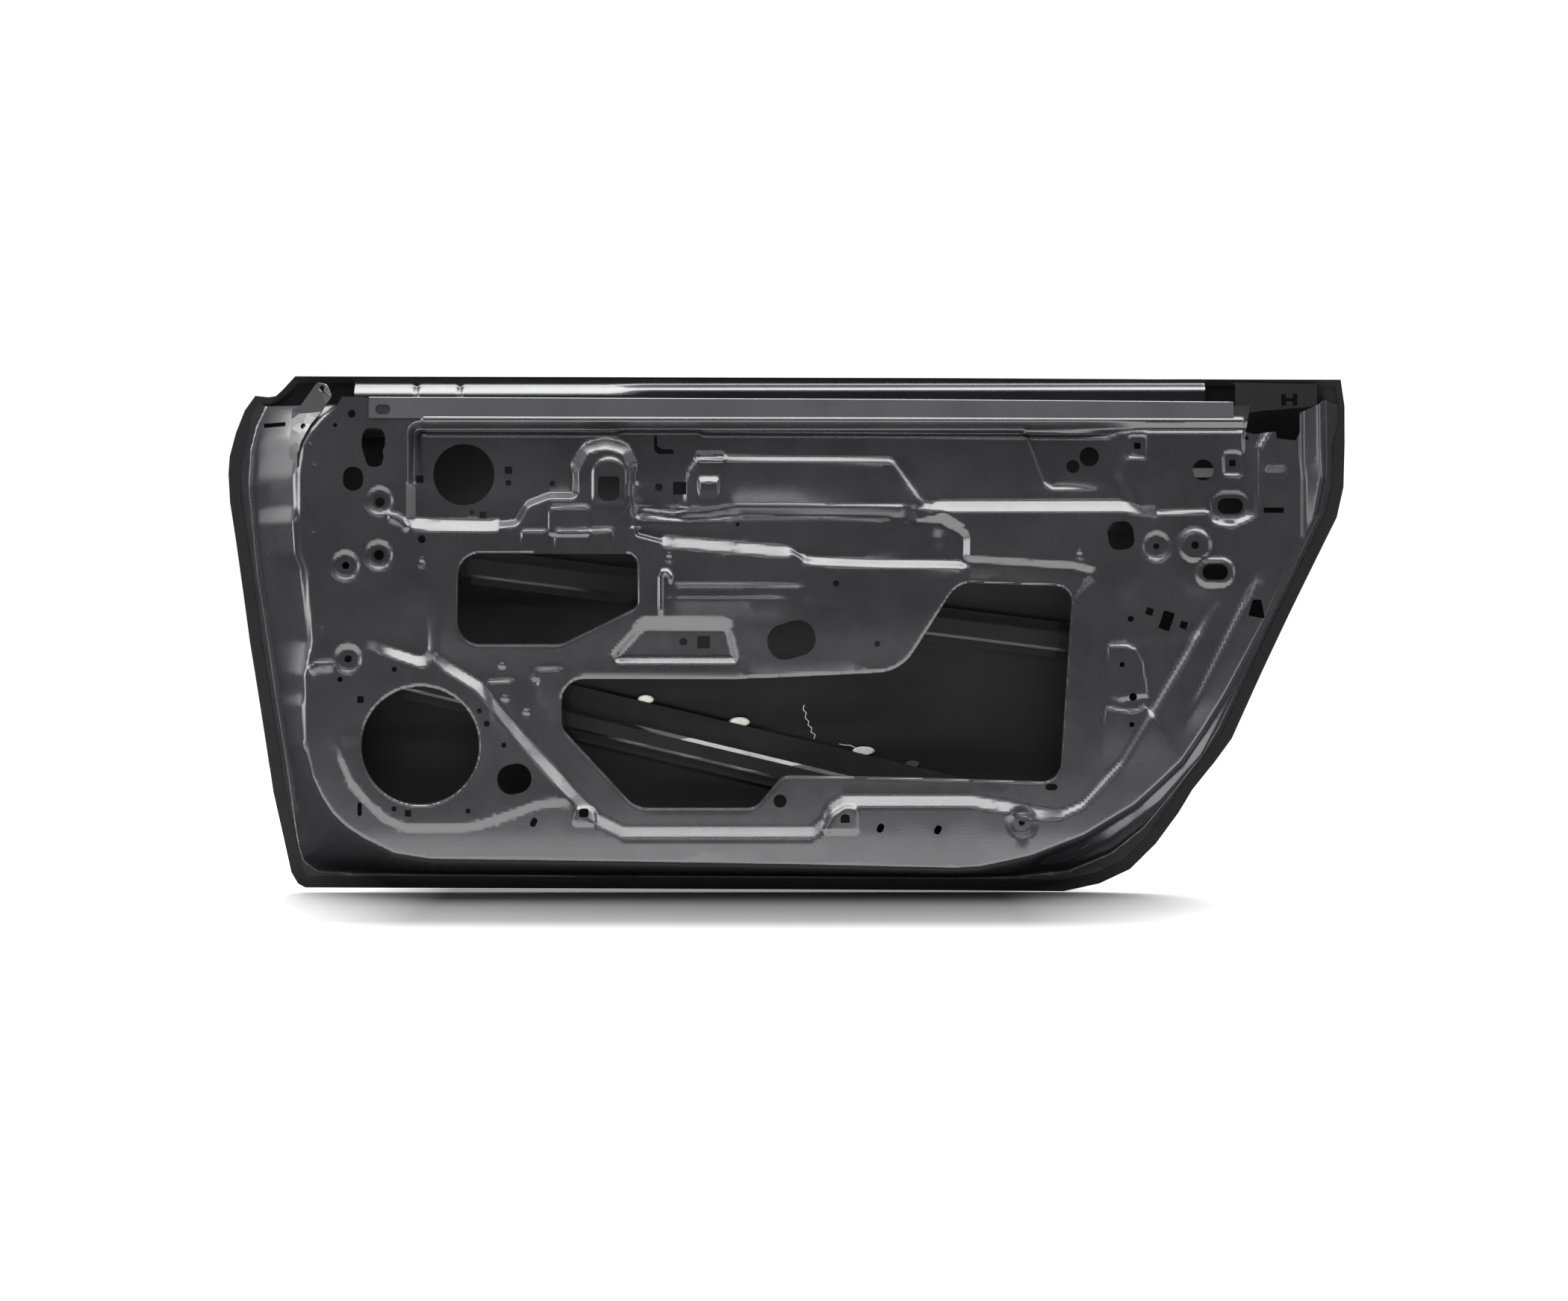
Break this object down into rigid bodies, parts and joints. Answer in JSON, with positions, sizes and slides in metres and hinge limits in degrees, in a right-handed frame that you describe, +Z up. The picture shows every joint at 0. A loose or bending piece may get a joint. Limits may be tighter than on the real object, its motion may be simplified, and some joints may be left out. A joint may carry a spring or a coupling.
{
  "type": "car door shell",
  "caption": "Bare pressed-steel door shell of a frameless coupe: hemmed outer skin, deep inner panel with openings, side beams and reinforcements.",
  "frame": {"origin": "middle of the upper hinge pad on the hinge face", "axes": "+X along the door from hinge end to latch end, +Y outwards through the outer skin, +Z up as the door hangs on the car"},
  "size_m": [1.3019, 0.1426, 0.5999],
  "materials": {
    "coated_beam": "black electrocoat on pressed steel, satin",
    "coated_belt_strip": "black electrocoat on pressed steel, satin",
    "coated_bracket": "black electrocoat on pressed steel, satin",
    "coated_corner_plate": "black electrocoat on pressed steel, satin",
    "coated_hinge_plate": "black electrocoat on pressed steel, satin",
    "coated_nut": "black electrocoat on pressed steel, satin",
    "coated_outer_belt": "black electrocoat on pressed steel, satin",
    "coated_panel": "black electrocoat on pressed steel, satin",
    "coated_skin": "black electrocoat on pressed steel, satin",
    "mastic": "matt sealing mastic under a thin electrocoat film"
  },
  "bodies": {
    "root": {"check_strap_reinforcement": "coated_hinge_plate", "inner_belt_reinforcement": "coated_belt_strip", "inner_panel": "coated_panel", "latch_reinforcement": "coated_hinge_plate", "lower_beam_hinge_bracket": "coated_bracket", "lower_beam_latch_bracket": "coated_bracket", "lower_hinge_reinforcement": "coated_hinge_plate", "lower_side_beam": "coated_beam", "mastic_drop_1": "mastic", "mastic_drop_2": "mastic", "mastic_drop_3": "mastic", "mastic_drop_4": "mastic", "mirror_bracket": "coated_corner_plate", "outer_belt_reinforcement": "coated_outer_belt", "outer_skin": "coated_skin", "rear_corner_bracket": "coated_corner_plate", "upper_beam_hinge_bracket": "coated_bracket", "upper_beam_latch_bracket": "coated_bracket", "upper_hinge_reinforcement": "coated_hinge_plate", "upper_side_beam": "coated_beam", "weld_nut_1": "coated_nut", "weld_nut_2": "coated_nut", "weld_nut_3": "coated_nut", "weld_nut_4": "coated_nut", "weld_nut_5": "coated_nut", "weld_nut_6": "coated_nut"}
  },
  "joints": []
}
